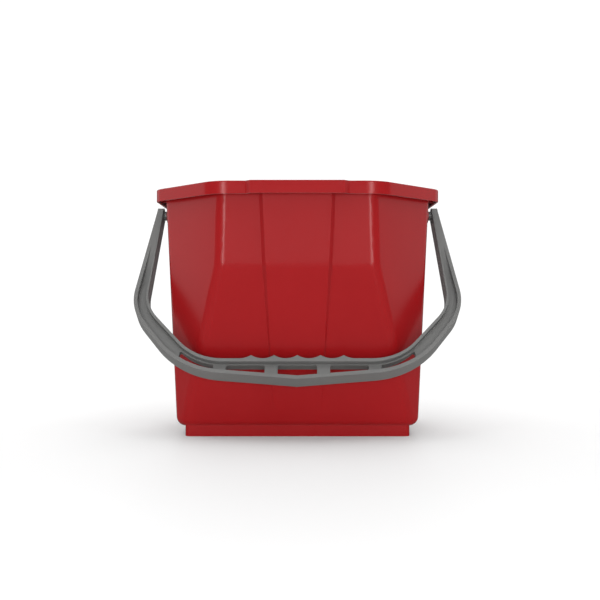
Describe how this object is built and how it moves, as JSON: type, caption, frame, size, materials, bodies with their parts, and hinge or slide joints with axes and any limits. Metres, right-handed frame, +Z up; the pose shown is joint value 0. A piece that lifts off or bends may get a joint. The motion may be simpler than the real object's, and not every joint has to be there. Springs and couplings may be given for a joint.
{
  "type": "wash bucket",
  "caption": "Octagonal plastic wash bucket with a turned-down rim, a raised middle on the front and back, a foot ring and a swinging moulded handle with finger grips and pierced windows.",
  "frame": {"origin": "on the floor, under the middle of the bucket", "axes": "+Z up, front (the side the handle hangs on) at -Y, +X towards the right-hand pin as seen from the front"},
  "size_m": [0.3712, 0.2884, 0.281],
  "materials": {
    "bucket_plastic": "satin red polypropylene with a fine moulded grain",
    "handle_plastic": "satin mid-grey polypropylene"
  },
  "bodies": {
    "bucket": {"bucket_body": "bucket_plastic"},
    "handle": {"handle": "handle_plastic"}
  },
  "joints": [
    {"name": "handle_swing", "type": "hinge", "parent": "bucket", "child": "handle", "pos_m": [0, 0, 0.257], "axis": [-1, 0, 0], "range_deg": [0, 295.1]}
  ]
}
